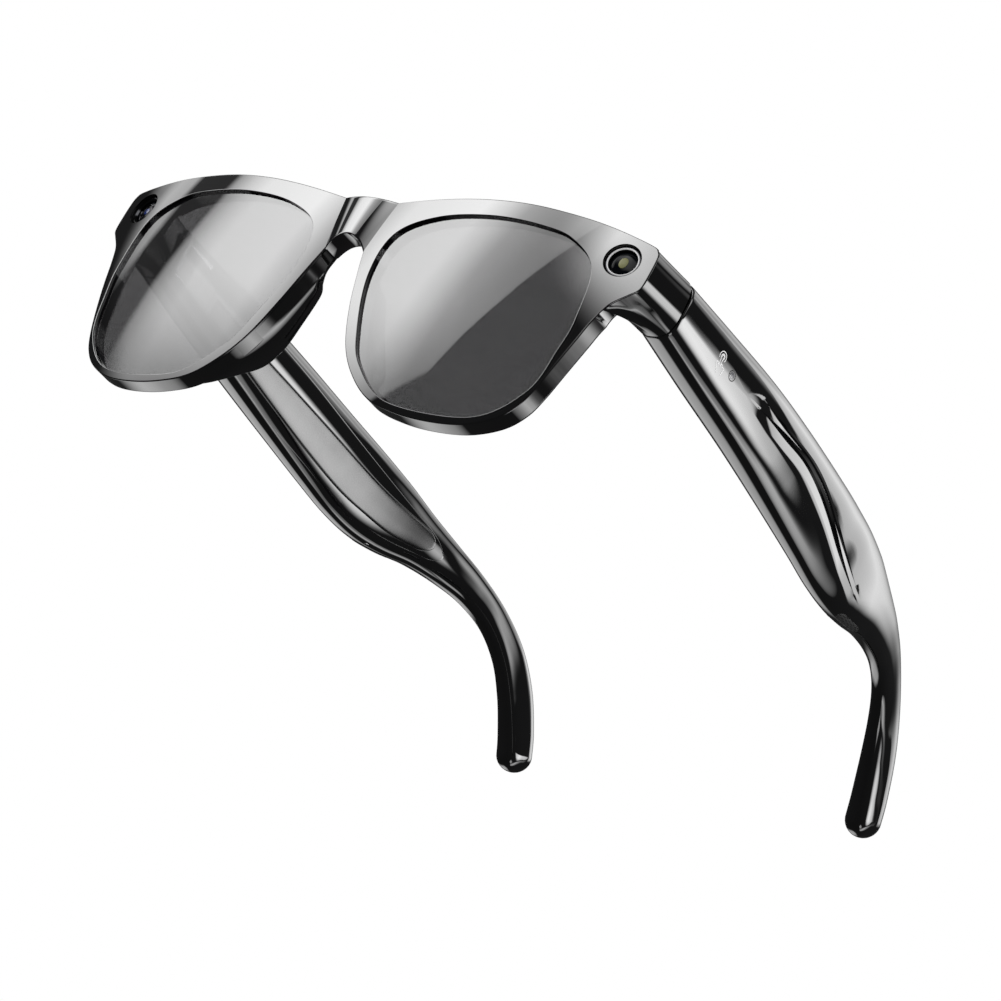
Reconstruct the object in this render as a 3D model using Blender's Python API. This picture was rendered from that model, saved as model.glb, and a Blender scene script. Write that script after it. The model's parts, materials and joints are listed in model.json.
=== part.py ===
"""Camera glasses: a glossy front with two lenses, a camera and a light, and two folding temples.

The wearer's left is +X, the front looks along -Y and +Z is up. The glasses are laid out with the
lens centres at z = 0 and the front face at y = 0 on the bridge. The last step leans them onto their
rim bottoms and temple tips and puts the origin under the middle of their box.
"""

import math

import bmesh
import bpy
from mathutils import Matrix, Vector

MM = 0.001
GAP = 0.3 * MM
SIDES = (("left", 1), ("right", -1))

# Front face: y = VALLEY |x| + WRAP x^2 + CROWN z^2, with a convex bridge between its two edges.
VALLEY = -0.14
WRAP = 3.32
CROWN = 2.8
BRIDGE_TOP = (6.8 * MM, 19.4 * MM)
BRIDGE_BOTTOM = (4.9 * MM, 7.3 * MM)
BRIDGE_BULGE = 0.7 * MM
BRIDGE_ARCH_RISE = 3.2 * MM

# Front outline of the wearer's left half, in millimetres (x, z), from the bridge's top edge round
# the end piece and under the lens back to the bridge's bottom edge.
RIM_OUTLINE = [
    (6.8, 19.4), (19.0, 21.2), (28.4, 22.2), (37.6, 22.6), (46.9, 22.2), (56.0, 21.3),
    (65.6, 19.5), (67.5, 18.5), (68.1, 16.6), (68.2, 11.2), (67.8, 9.3), (66.6, 8.0),
    (64.0, 5.0), (62.4, 1.0), (61.2, -3.5), (59.6, -9.0), (57.6, -15.2), (55.5, -19.4),
    (51.9, -22.8), (45.8, -25.3), (38.3, -26.1), (30.5, -25.6), (23.0, -23.6), (16.9, -19.1),
    (12.4, -13.4), (8.9, -5.5), (6.3, 2.6), (4.9, 7.3),
]
LENS_OPENING = [
    (59.0, 0.7), (57.2, 11.3), (50.6, 16.6), (43.0, 18.2), (31.3, 18.5), (18.9, 16.6),
    (10.6, 11.9), (9.5, 2.5), (13.6, -9.8), (18.1, -17.2), (28.2, -23.7), (46.8, -23.5),
    (56.1, -16.0), (58.5, -6.1),
]
RIM_DEPTH = 4.2 * MM
LIP = 1.0 * MM
LENS_SEAT = 0.9 * MM
LENS_EDGE = 0.6 * MM
LENS_THICKNESS = 1.9 * MM

# Brow channel and its cover, on the back of the front: centre line in millimetres (x, z).
BROW_LINE = [(0, 15.6), (8, 17.3), (16, 18.9), (26, 20.5), (37, 21.0), (46, 20.5), (52, 19.2), (56, 17.4)]
CHANNEL_HALF = 0.85 * MM
CHANNEL_FLOOR = 2.9 * MM
FLEX_HALF = 0.5 * MM
COVER_HALF = 1.35 * MM
COVER_THICKNESS = 1.1 * MM

# Camera and light, on the front's normal at (x, z).
EYE = (62.0 * MM, 14.7 * MM)
EYE_RADIUS = 3.75 * MM
BEZEL_RADIUS = 3.45 * MM
BEZEL_BORE = 2.75 * MM
WINDOW_RADIUS = 2.45 * MM
MODULE_RADIUS = 2.6 * MM
BOARD_SIDE = 4.6 * MM

# Hinge: a three-knuckle barrel on the inner edge of each end piece.
SEAM_Y = 17.75 * MM
SEAM_HALF = 0.2 * MM
PIVOT_X = 60.6 * MM
PIVOT_Z = 12.75 * MM
# The pins lean in at the top, so that a folded temple passes below the other one.
PIVOT_TILT = math.radians(-1.2)
KNUCKLE_RADIUS = 1.4 * MM
POCKET_RADIUS = 1.75 * MM
PIN_RADIUS = 0.6 * MM
PIN_BORE = 0.66 * MM
PIN_HEAD = 1.05 * MM
HINGE_BOTTOM = 9.0 * MM
KNUCKLE_HEIGHT = 2.4 * MM
KNUCKLE_GAP = 0.15 * MM
LEAF_THICKNESS = 1.0 * MM

# Temple, in millimetres: (y, z of the centre, x of the centre, height, thickness).
TEMPLE_STATIONS = [
    (18.0, 12.9, 65.3, 12.8, 8.9), (34.0, 11.7, 65.6, 15.0, 9.2), (51.0, 10.6, 65.7, 17.0, 9.0),
    (67.0, 9.2, 65.3, 18.5, 8.1), (83.5, 7.5, 64.6, 19.6, 7.0), (93.0, 6.5, 63.9, 20.0, 6.5),
    (101.0, 6.0, 63.1, 19.2, 6.4), (108.5, 5.9, 61.9, 16.8, 6.4), (116.5, 5.8, 60.1, 12.8, 6.2),
    (125.0, 5.3, 57.9, 10.0, 5.4), (133.0, 4.1, 55.3, 8.2, 4.7), (140.6, 1.4, 52.6, 7.6, 4.3),
    (147.4, -3.2, 50.3, 8.4, 4.3), (152.9, -9.3, 48.7, 9.3, 4.6), (157.3, -16.3, 47.5, 9.3, 5.0),
    (159.4, -20.8, 46.9, 8.8, 5.3),
]
SECTION_POWER = 3.0
# Inner cover outline on the temple, in millimetres (y, z).
COVER_OUTLINE = [
    (31.5, 12.0), (33.5, 15.0), (50.0, 15.4), (68.0, 14.6), (84.0, 13.0), (98.0, 11.2),
    (110.0, 9.6), (116.5, 7.6), (117.6, 5.4), (115.5, 3.0), (106.0, 1.0), (90.0, 0.9),
    (73.0, 2.3), (56.0, 4.4), (40.0, 6.8), (33.5, 8.2),
]
PANEL_THICKNESS = 1.0 * MM
SHELL_WALL = 1.2 * MM
COVER_LEDGE = 0.9 * MM
BUTTON_Y = 45.0 * MM
BUTTON_X = 65.6 * MM
BUTTON_TOP = 19.75 * MM
BUTTON_BOTTOM = 16.2 * MM
BUTTON_LENGTH = 9.0 * MM
BUTTON_WIDTH = 3.0 * MM
# Power slide on the inner cover of the left temple, at its off end (y, z).
SLIDE_AT = (46.0 * MM, 9.8 * MM)
SLIDE_LENGTH = 3.4 * MM
SLIDE_HEIGHT = 1.8 * MM
SLIDE_TRAVEL = 2.0 * MM
STATUS_AT = (37.0 * MM, 11.2 * MM)
OUTLET_X = 62.2 * MM
OUTLET_Y = 106.5 * MM
OUTLET_SLOPE = math.radians(10)
OUTLET_Z = -2.75 * MM
CONTACTS_AT = [(37.0 * MM, 10.5 * MM), (41.0 * MM, 10.1 * MM)]

# The glasses lean back onto their temple tips, on a plane through this (y, z) under the rims.
REST_LEAN = math.radians(-0.55)
REST_AT = (3.5 * MM, -25.9 * MM)

GLOSS_BLACK = ("gloss_black", (0.012, 0.012, 0.013), 0.06, 0.0)
SATIN_BLACK = ("satin_black", (0.03, 0.03, 0.032), 0.35, 0.0)
LENS_GREY = ("lens_grey", (0.10, 0.10, 0.105), 0.02, 0.0)
DARK_GLASS = ("dark_glass", (0.01, 0.012, 0.02), 0.03, 0.0)
STEEL = ("hinge_steel", (0.55, 0.55, 0.56), 0.3, 1.0)
BEZEL_METAL = ("bezel_metal", (0.05, 0.05, 0.055), 0.2, 0.8)
GOLD = ("contact_gold", (0.83, 0.62, 0.27), 0.25, 1.0)
BOARD_GREEN = ("board_green", (0.02, 0.12, 0.05), 0.4, 0.0)
FLEX_AMBER = ("flex_amber", (0.45, 0.22, 0.05), 0.4, 0.0)
CELL_SILVER = ("cell_silver", (0.6, 0.6, 0.62), 0.35, 0.9)
EMITTER_YELLOW = ("emitter_yellow", (0.55, 0.55, 0.18), 0.4, 0.0)
LIGHT_PIPE = ("light_pipe", (0.25, 0.25, 0.26), 0.2, 0.0)


def clear_scene():
    for obj in list(bpy.data.objects):
        bpy.data.objects.remove(obj, do_unlink=True)


def material_of(look):
    name, colour, roughness, metallic = look
    made = bpy.data.materials.get(name)
    if made is None:
        made = bpy.data.materials.new(name)
        made.use_nodes = True
        shader = made.node_tree.nodes["Principled BSDF"]
        shader.inputs["Base Color"].default_value = (*colour, 1)
        shader.inputs["Roughness"].default_value = roughness
        shader.inputs["Metallic"].default_value = metallic
    return made


def object_of(name, bm, look=None):
    """A mesh object from bm. Without a look it is a hidden cutter."""
    bmesh.ops.recalc_face_normals(bm, faces=bm.faces)
    if bm.calc_volume(signed=True) < 0:
        bmesh.ops.reverse_faces(bm, faces=bm.faces)
    mesh = bpy.data.meshes.new(name)
    bm.to_mesh(mesh)
    bm.free()
    obj = bpy.data.objects.new(name, mesh)
    bpy.context.scene.collection.objects.link(obj)
    if look is None:
        obj.hide_render = True
        obj.display_type = "WIRE"
    else:
        mesh.materials.append(material_of(look))
        mesh.shade_smooth()
        mesh.set_sharp_from_angle(angle=math.radians(35))
    return obj


def boolean(obj, other, operation="DIFFERENCE"):
    modifier = obj.modifiers.new(other.name, "BOOLEAN")
    modifier.operation = operation
    modifier.object = other
    modifier.solver = "EXACT"
    return obj


def smooth(points, steps, closed=False):
    """Points along a Catmull-Rom curve through the given ones."""
    count = len(points)
    spans = count if closed else count - 1
    found = []
    for i in range(spans):
        around = []
        for k in range(i - 1, i + 3):
            index = k % count if closed else min(max(k, 0), count - 1)
            around.append(Vector(points[index]))
        a, b, c, d = around
        for step in range(steps):
            t = step / steps
            found.append(
                0.5 * (2 * b + (c - a) * t + (2 * a - 5 * b + 4 * c - d) * t * t + (3 * b - a - 3 * c + d) * t**3)
            )
    if not closed:
        found.append(Vector(points[-1]))
    return found


def offset_loop(points, distance):
    """A closed 2-D loop moved outwards by the distance, or inwards where it is negative."""
    count = len(points)
    area = sum(points[i - 1].x * points[i].y - points[i].x * points[i - 1].y for i in range(count))
    turn = 1 if area > 0 else -1
    moved = []
    for i in range(count):
        along = (points[(i + 1) % count] - points[i - 1]).normalized()
        moved.append(points[i] + turn * distance * Vector((along.y, -along.x)))
    return moved


def bridge_half_width(z):
    low_x, low_z = BRIDGE_BOTTOM
    high_x, high_z = BRIDGE_TOP
    return low_x + (high_x - low_x) * (z - low_z) / (high_z - low_z)


def face_depth(x, z):
    """y of the front face at (x, z)."""
    half = bridge_half_width(z)
    if z > BRIDGE_BOTTOM[1] - 1 * MM and abs(x) < half:
        bulge = BRIDGE_BULGE * (1 - (x / half) ** 2)
        return VALLEY * half + WRAP * half**2 + CROWN * z * z - bulge
    return VALLEY * abs(x) + WRAP * x * x + CROWN * z * z


def in_metres(points):
    return [Vector(point) * MM for point in points]


def extrude_bent(bm, faces, front, back):
    """Turns flat faces in x and z into a closed plate between two depths behind the front face."""
    made = bmesh.ops.extrude_face_region(bm, geom=faces)
    far = {item for item in made["geom"] if isinstance(item, bmesh.types.BMVert)}
    for vertex in bm.verts:
        depth = back if vertex in far else front
        vertex.co.y = face_depth(vertex.co.x, vertex.co.z) + depth


def ring_of_edges(bm, points):
    verts = [bm.verts.new((point.x, 0, point.y)) for point in points]
    return verts, [bm.edges.new((verts[i - 1], verts[i])) for i in range(len(verts))]


def bent_plate(name, outline, front, back, look=None):
    """A plate with one outline, bent to the front face, between two depths."""
    bm = bmesh.new()
    _, edges = ring_of_edges(bm, outline)
    bmesh.ops.triangle_fill(bm, edges=edges, use_beauty=True)
    extrude_bent(bm, list(bm.faces), front, back)
    return object_of(name, bm, look)


def mirrored(points, side):
    return [Vector((point.x * side, point.y)) for point in points]


def strip_outline(line, half):
    """The outline of a strip that follows the brow from one side to the other."""
    right = smooth(in_metres(line), 4)
    centre = [Vector((-point.x, point.y)) for point in reversed(right[1:])] + right
    upper, lower = [], []
    for i, point in enumerate(centre):
        along = (centre[min(i + 1, len(centre) - 1)] - centre[max(i - 1, 0)]).normalized()
        across = Vector((-along.y, along.x)) * half
        upper.append(point + across)
        lower.append(point - across)
    return upper + list(reversed(lower))


def loft(name, rings, look=None):
    """A closed solid through rings of points, with flat ends."""
    bm = bmesh.new()
    rows = [[bm.verts.new(point) for point in ring] for ring in rings]
    count = len(rows[0])
    for first, second in zip(rows, rows[1:]):
        for i in range(count):
            bm.faces.new((first[i - 1], first[i], second[i], second[i - 1]))
    bm.faces.new(rows[0])
    bm.faces.new(rows[-1])
    return object_of(name, bm, look)


def prism(name, outline, axis, low, high, look=None):
    """An outline of 2-D points extruded along X, Y or Z between two places."""
    order = {"X": lambda a, b, c: (c, a, b), "Y": lambda a, b, c: (a, c, b), "Z": lambda a, b, c: (a, b, c)}
    place = order[axis]
    return loft(name, [[place(p.x, p.y, at) for p in outline] for at in (low, high)], look)


def block(name, centre, size, look=None, turn=None):
    bm = bmesh.new()
    bmesh.ops.create_cube(bm, size=1, matrix=Matrix.Diagonal((*size, 1)))
    place = Matrix.Translation(centre) @ (turn or Matrix.Identity(4))
    bm.transform(place)
    return object_of(name, bm, look)


def rod(name, place, radius, low, high, look=None, bore=0.0, sides=28):
    """A cylinder, or a tube where it has a bore, along the local Z of a placing matrix."""
    bm = bmesh.new()
    loops = []
    radii = (radius, bore) if bore else (radius,)
    for r in radii:
        for z in (low, high):
            loops.append([
                bm.verts.new(place @ Vector((r * math.cos(a), r * math.sin(a), z)))
                for a in (2 * math.pi * i / sides for i in range(sides))
            ])
    pairs = [(0, 1), (2, 3), (0, 2), (1, 3)] if bore else [(0, 1)]
    for a, b in pairs:
        for i in range(sides):
            bm.faces.new((loops[a][i - 1], loops[a][i], loops[b][i], loops[b][i - 1]))
    if not bore:
        bm.faces.new(loops[0])
        bm.faces.new(loops[1])
    return object_of(name, bm, look)


def stadium(centre_a, centre_b, length, width, sides=8):
    """A slot outline, long along the second coordinate."""
    straight = (length - width) / 2
    points = []
    for end in (1, -1):
        for i in range(sides + 1):
            angle = math.pi * i / sides + (0 if end > 0 else math.pi)
            points.append(Vector((
                centre_a + width / 2 * math.cos(angle),
                centre_b + end * straight + width / 2 * math.sin(angle),
            )))
    return points


def superellipse(width, height, power, count):
    """Points of a rounded rectangle about the origin."""
    points = []
    for i in range(count):
        angle = 2 * math.pi * (i + 0.5) / count
        c, s = math.cos(angle), math.sin(angle)
        points.append(Vector((
            math.copysign(abs(c) ** (2 / power) * width / 2, c),
            math.copysign(abs(s) ** (2 / power) * height / 2, s),
        )))
    return points


def eye_frame(side, inward=0.0):
    """Places local Z along the front's normal, pointing into the frame, at the camera or light."""
    x, z = EYE[0] * side, EYE[1]
    slope_x = (VALLEY + 2 * WRAP * EYE[0]) * side
    slope_z = 2 * CROWN * z
    back = Vector((-slope_x, 1, -slope_z)).normalized()
    right = Vector((0, 0, 1)).cross(back).normalized()
    up = back.cross(right)
    turn = Matrix((right, up, back)).transposed().to_4x4()
    origin = Vector((x, face_depth(x, z), z)) + back * inward
    return Matrix.Translation(origin) @ turn


def rim_plate():
    """Both rims and the bridge in one plate, with the two lens openings."""
    bm = bmesh.new()
    outer = smooth(in_metres(RIM_OUTLINE), 3)
    opening = smooth(in_metres(LENS_OPENING), 4, closed=True)
    top_at, bottom_at = outer[0], outer[-1]
    edge_steps = 4
    halves = {}
    for _, side in SIDES:
        verts = [bm.verts.new((p.x * side, 0, p.y)) for p in outer]
        shared = [verts[-1]]
        for i in range(1, edge_steps):
            p = bottom_at.lerp(top_at, i / edge_steps)
            shared.append(bm.verts.new((p.x * side, 0, p.y)))
        shared.append(verts[0])
        loop = verts + shared[1:-1]
        edges = [bm.edges.new((loop[i - 1], loop[i])) for i in range(len(loop))]
        _, hole = ring_of_edges(bm, mirrored(opening, side))
        bmesh.ops.triangle_fill(bm, edges=edges + hole, use_beauty=True)
        halves[side] = shared
    across = 6
    rows = []
    for i in range(edge_steps + 1):
        a, b = halves[-1][i], halves[1][i]
        row = [a]
        share = i / edge_steps
        for k in range(1, across):
            u = k / across
            arch = BRIDGE_ARCH_RISE * (1 - (2 * u - 1) ** 2) * (1 - share)
            at = a.co.lerp(b.co, u) + Vector((0, 0, arch))
            row.append(bm.verts.new(at))
        rows.append(row + [b])
    for low, high in zip(rows, rows[1:]):
        for k in range(across):
            bm.faces.new((low[k], low[k + 1], high[k + 1], high[k]))
    extrude_bent(bm, list(bm.faces), 0, RIM_DEPTH)
    return object_of("front_frame", bm, GLOSS_BLACK)


def end_piece_rings(side, grow=0.0):
    """Sections of an end piece, from inside the rim plate back to the seam."""
    # (y or None to follow the front face, centre x, centre z, width, height), in millimetres
    sections = [
        (None, 62.8, 14.1, 10.8, 10.4), (8.5, 62.8, 14.0, 11.2, 10.6), (11.5, 63.0, 13.8, 11.4, 11.2),
        (14.5, 64.4, 13.3, 10.2, 12.2), (17.55, 65.3, 12.9, 8.9, 12.8),
    ]
    rings = []
    for y, cx, cz, width, height in sections:
        ring = []
        for p in superellipse(width * MM + grow, height * MM + grow, SECTION_POWER, 28):
            x, z = cx * MM + p.x, cz * MM + p.y
            depth = face_depth(x, z) + LIP if y is None else y * MM
            ring.append((x * side, depth, z))
        rings.append(ring)
    return rings


def pivot_frame(side):
    """Places local Z along a hinge pin, with its zero at the pin's middle less PIVOT_Z."""
    middle = Matrix.Translation((PIVOT_X * side, SEAM_Y, PIVOT_Z))
    return middle @ Matrix.Rotation(PIVOT_TILT * side, 4, "Y") @ Matrix.Translation((0, 0, -PIVOT_Z))


def hinge_pocket(name, side):
    top = HINGE_BOTTOM + 3 * KNUCKLE_HEIGHT + 2 * KNUCKLE_GAP
    return rod(name, pivot_frame(side), POCKET_RADIUS, HINGE_BOTTOM - 2 * GAP, top + 1.1 * MM)


def leaf_slot(name, side, low_y, high_y):
    x = (PIVOT_X + 1.0 * MM) * side
    height = 3 * KNUCKLE_HEIGHT + 2 * KNUCKLE_GAP
    centre = (x, (low_y + high_y) / 2, HINGE_BOTTOM + height / 2)
    return block(name, centre, (LEAF_THICKNESS + 2 * GAP, high_y - low_y, height + 2 * GAP))


def eye_cutters(side, label):
    """The stepped hole of the camera or light."""
    place = eye_frame(side)
    hole = rod(f"cut_eye_{label}", place, EYE_RADIUS, -2 * MM, 2.7 * MM)
    barrel = rod(f"cut_barrel_{label}", place, MODULE_RADIUS + GAP, 2 * MM, 4.8 * MM)
    seat = block(
        f"cut_board_{label}", place @ Vector((0, 0, 5.4 * MM)),
        (BOARD_SIDE + 2 * GAP, BOARD_SIDE + 2 * GAP, 1.8 * MM), None, place.to_3x3().to_4x4(),
    )
    return hole, barrel, seat


def rest_cutter(name):
    """Levels rims and tips to flats on the surface that the glasses stand on."""
    lean = Matrix.Rotation(-REST_LEAN, 4, "X")
    size = Vector((0.2, 0.36, 0.01))
    centre = Vector((0, REST_AT[0], REST_AT[1])) + lean @ Vector((0, 0, -size.z / 2))
    return block(name, centre, size, None, lean)


def build_front():
    frame = rim_plate()
    opening = smooth(in_metres(LENS_OPENING), 4, closed=True)
    for label, side in SIDES:
        boolean(frame, loft(f"add_end_{label}", end_piece_rings(side)), "UNION")
    for label, side in SIDES:
        seat = mirrored(offset_loop(opening, LENS_SEAT), side)
        boolean(frame, bent_plate(f"cut_seat_{label}", seat, LIP, LIP + LENS_THICKNESS + 2 * GAP))
        for cutter in eye_cutters(side, label):
            boolean(frame, cutter)
        boolean(frame, hinge_pocket(f"cut_front_pocket_{label}", side))
        boolean(frame, leaf_slot(f"cut_front_leaf_{label}", side, 11.6 * MM, SEAM_Y))
        lens = mirrored(offset_loop(opening, LENS_EDGE), side)
        bent_plate(f"lens_{label}", lens, LIP + GAP, LIP + GAP + LENS_THICKNESS, LENS_GREY)
    channel = strip_outline(BROW_LINE, CHANNEL_HALF)
    boolean(frame, bent_plate("cut_channel", channel, CHANNEL_FLOOR, RIM_DEPTH + 1 * MM))
    boolean(frame, rest_cutter("cut_rest_front"))
    flex = strip_outline(BROW_LINE, FLEX_HALF)
    bent_plate("brow_flex", flex, CHANNEL_FLOOR + GAP, CHANNEL_FLOOR + 2 * GAP, FLEX_AMBER)
    cover = strip_outline(BROW_LINE, COVER_HALF)
    cover_at = RIM_DEPTH + GAP
    bent_plate("brow_cover", cover, cover_at, cover_at + COVER_THICKNESS, GLOSS_BLACK)


def build_nose_pads():
    """Fins behind the nose side of each rim, splayed away from the nose as they go back."""
    # (x, z on the rim's edge, depth behind the rim), in millimetres
    line = [(6.6, 4.0, 1.6), (7.6, 0.2, 4.6), (9.2, -4.4, 7.2), (11.2, -9.2, 8.2), (13.6, -13.6, 7.0), (16.8, -17.6, 4.0), (19.6, -20.0, 1.4)]
    splay = 0.42
    thickness = 2.2 * MM
    points = smooth([(x, z, d) for x, z, d in line], 3)
    for label, side in SIDES:
        rings = []
        for i, point in enumerate(points):
            along = (points[min(i + 1, len(points) - 1)] - points[max(i - 1, 0)]).xy.normalized()
            outward = Vector((-along.y, along.x))
            edge = point.xy * MM
            start = RIM_DEPTH + GAP
            depth = point.z * MM
            ring = []
            for step, across in ((0, 0.2), (0.35, 0), (0.75, 0.05), (1, 0.5), (0.75, 1.0), (0.35, 1.05), (0, 1.0)):
                lift = (splay * depth * step**1.5 + across * thickness)
                x, z = edge.x + outward.x * lift, edge.y + outward.y * lift
                ring.append((x * side, face_depth(x, z) + start + depth * step, z))
            rings.append(ring)
        loft(f"nose_pad_{label}", rings, SATIN_BLACK)


def build_eyes():
    """The camera in the wearer's right end piece and the light in the left one."""
    for kind, side in (("camera", -1), ("light", 1)):
        place = eye_frame(side)
        rod(f"{kind}_bezel", place, BEZEL_RADIUS, 0.4 * MM, 2.3 * MM, BEZEL_METAL, BEZEL_BORE)
        rod(f"{kind}_window", place, WINDOW_RADIUS, 0.9 * MM, 1.7 * MM, DARK_GLASS)
        board = ("camera_sensor", "light_board")[side > 0]
        seat = place @ Vector((0, 0, 5.4 * MM))
        size = (BOARD_SIDE, BOARD_SIDE, 1.0 * MM)
        block(board, seat, size, BOARD_GREEN, place.to_3x3().to_4x4())
    rod("camera_barrel", eye_frame(-1), MODULE_RADIUS, 2.6 * MM, 4.6 * MM, SATIN_BLACK)
    rod("light_emitter", eye_frame(1), MODULE_RADIUS * 0.6, 2.6 * MM, 4.6 * MM, EMITTER_YELLOW)


def knuckle_band(index):
    low = HINGE_BOTTOM + index * (KNUCKLE_HEIGHT + KNUCKLE_GAP)
    return low, low + KNUCKLE_HEIGHT


def hinge_leaf(name, side, bands, far_y, sense):
    """A plate with its knuckles. sense is -1 for the leaf in the front and 1 for the temple's."""
    height = 3 * KNUCKLE_HEIGHT + 2 * KNUCKLE_GAP
    near_y = SEAM_Y + sense * (POCKET_RADIUS + 0.05 * MM)
    middle = (PIVOT_X + 1.0 * MM) * side
    centre = (middle, (near_y + far_y) / 2, HINGE_BOTTOM + height / 2)
    leaf = block(name, centre, (LEAF_THICKNESS, abs(far_y - near_y), height), STEEL)
    for index in bands:
        low, high = knuckle_band(index)
        arm_y = (SEAM_Y + near_y) / 2
        reach = abs(near_y - SEAM_Y) + 0.8 * MM
        arm_x = (PIVOT_X + 0.9 * MM) * side
        arm = block(
            f"add_{name}_arm{index}", (arm_x, arm_y + sense * 0.4 * MM, (low + high) / 2),
            (1.2 * MM, reach, high - low),
        )
        boolean(leaf, arm, "UNION")
        boolean(leaf, rod(f"add_{name}_knuckle{index}", pivot_frame(side), KNUCKLE_RADIUS, low, high), "UNION")
    boolean(leaf, rod(f"cut_{name}_bore", pivot_frame(side), PIN_BORE, 0, 30 * MM))
    return leaf


def build_hinges():
    for label, side in SIDES:
        hinge_leaf(f"hinge_front_{label}", side, (0, 2), 12.0 * MM, -1)
        hinge_leaf(f"hinge_temple_{label}", side, (1,), 28.0 * MM, 1)
        low = knuckle_band(0)[0]
        high = knuckle_band(2)[1]
        pin = rod(f"hinge_pin_{label}", pivot_frame(side), PIN_RADIUS, low, high + 0.6 * MM, STEEL)
        head = rod(f"add_pin_head_{label}", pivot_frame(side), PIN_HEAD, high + GAP, high + 0.8 * MM)
        boolean(pin, head, "UNION")


def temple_rings(side, shift=0.0, wall=0.0, steps=2, count=22):
    """Sections square to the temple's centre line, closed by a rounded tip.

    The shift moves them away from the head and the wall brings them in on all sides (both in mm).
    """
    stations = smooth([Vector(s) for s in TEMPLE_STATIONS], steps)
    rings = []
    last = len(stations) - 1
    for i, (y, z, x, height, width) in enumerate(stations):
        before, after = stations[max(i - 1, 0)], stations[min(i + 1, last)]
        drop = 0.0 if i == 0 else math.atan2(before[1] - after[1], after[0] - before[0])
        caps = [(0.0, 1.0)]
        if i == last:
            caps += [(math.sin(a), math.cos(a)) for a in (math.radians(d) for d in (25, 50, 72))]
        for out, shrink in caps:
            reach = out * height * 0.42
            ring = []
            for p in superellipse(width * shrink - 2 * wall, height * shrink - 2 * wall, SECTION_POWER, count):
                along_y = y + reach * math.cos(drop) + p.y * math.sin(drop)
                along_z = z - reach * math.sin(drop) + p.y * math.cos(drop)
                ring.append(((x + p.x + shift) * MM * side, along_y * MM, along_z * MM))
            rings.append(ring)
    return rings


def outlet_frame(side):
    """Places local Z into the temple at the speaker's outlet, square to its sloping underside."""
    x = OUTLET_X * side
    return Matrix.Translation((x, OUTLET_Y, OUTLET_Z)) @ Matrix.Rotation(OUTLET_SLOPE, 4, "X")


def build_temple(label, side):
    outline = smooth(in_metres(COVER_OUTLINE), 3, closed=True)
    inboard, outboard = 50 * MM * side, 72 * MM * side
    shell = loft(f"temple_shell_{label}", temple_rings(side), GLOSS_BLACK)
    seat = loft(f"shape_seat_{label}", temple_rings(side, (PANEL_THICKNESS + GAP) / MM))
    mouth = prism(f"cut_mouth_{label}", outline, "X", inboard, 66 * MM * side)
    boolean(shell, boolean(mouth, seat))
    hollow = loft(f"shape_hollow_{label}", temple_rings(side, 0, SHELL_WALL / MM))
    cavity = prism(f"cut_cavity_{label}", offset_loop(outline, -COVER_LEDGE), "X", inboard, outboard)
    boolean(shell, boolean(cavity, hollow, "INTERSECT"))
    boolean(shell, hinge_pocket(f"cut_temple_pocket_{label}", side))
    boolean(shell, leaf_slot(f"cut_temple_leaf_{label}", side, SEAM_Y, 28.4 * MM))
    for part, length, width, depth in (("mouth", 7.6, 2.8, 1.3), ("duct", 5.6, 1.6, 6.0)):
        vent = prism(f"cut_vent_{part}_{label}", stadium(0, 0, length * MM, width * MM), "Z", -4 * MM, depth * MM)
        vent.matrix_basis = outlet_frame(side)
        boolean(shell, vent)
    boolean(shell, rest_cutter(f"cut_rest_{label}"))

    cover = loft(f"temple_cover_{label}", temple_rings(side), SATIN_BLACK)
    inset = offset_loop(outline, -GAP)
    boolean(cover, prism(f"keep_cover_{label}", inset, "X", inboard, 64 * MM * side), "INTERSECT")
    boolean(cover, loft(f"cut_cover_{label}", temple_rings(side, PANEL_THICKNESS / MM)))

    grille = prism(f"speaker_grille_{label}", stadium(0, 0, 7.0 * MM, 2.2 * MM), "Z", 0.2 * MM, 1.0 * MM, STEEL)
    grille.data.transform(outlet_frame(side))
    block(f"speaker_{label}", (63.9 * MM * side, 89 * MM, 6.4 * MM), (2.6 * MM, 15 * MM, 8 * MM), SATIN_BLACK)
    return shell


def build_controls():
    """The capture button on top of the right temple and the power slide inside the left one."""
    shell = bpy.data.objects["temple_shell_right"]
    slot = stadium(-BUTTON_X, BUTTON_Y, BUTTON_LENGTH + 2 * GAP, BUTTON_WIDTH + 2 * GAP)
    boolean(shell, prism("cut_button", slot, "Z", 13.5 * MM, 30 * MM))
    key = stadium(-BUTTON_X, BUTTON_Y, BUTTON_LENGTH, BUTTON_WIDTH)
    prism("capture_button", key, "Z", BUTTON_BOTTOM, BUTTON_TOP, GLOSS_BLACK)
    block("capture_switch", (-BUTTON_X, BUTTON_Y, 15.0 * MM), (2.6 * MM, 3.4 * MM, 1.2 * MM), STEEL)
    cover = bpy.data.objects["temple_cover_left"]
    y, z = SLIDE_AT
    length = SLIDE_LENGTH + SLIDE_TRAVEL + 2 * GAP
    middle = (61.5 * MM, y + SLIDE_TRAVEL / 2, z)
    boolean(cover, block("cut_slide", middle, (4 * MM, length, SLIDE_HEIGHT + 2 * GAP)))
    block("power_slide", (61.5 * MM, y, z), (1.7 * MM, SLIDE_LENGTH, SLIDE_HEIGHT), SATIN_BLACK)


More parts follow.
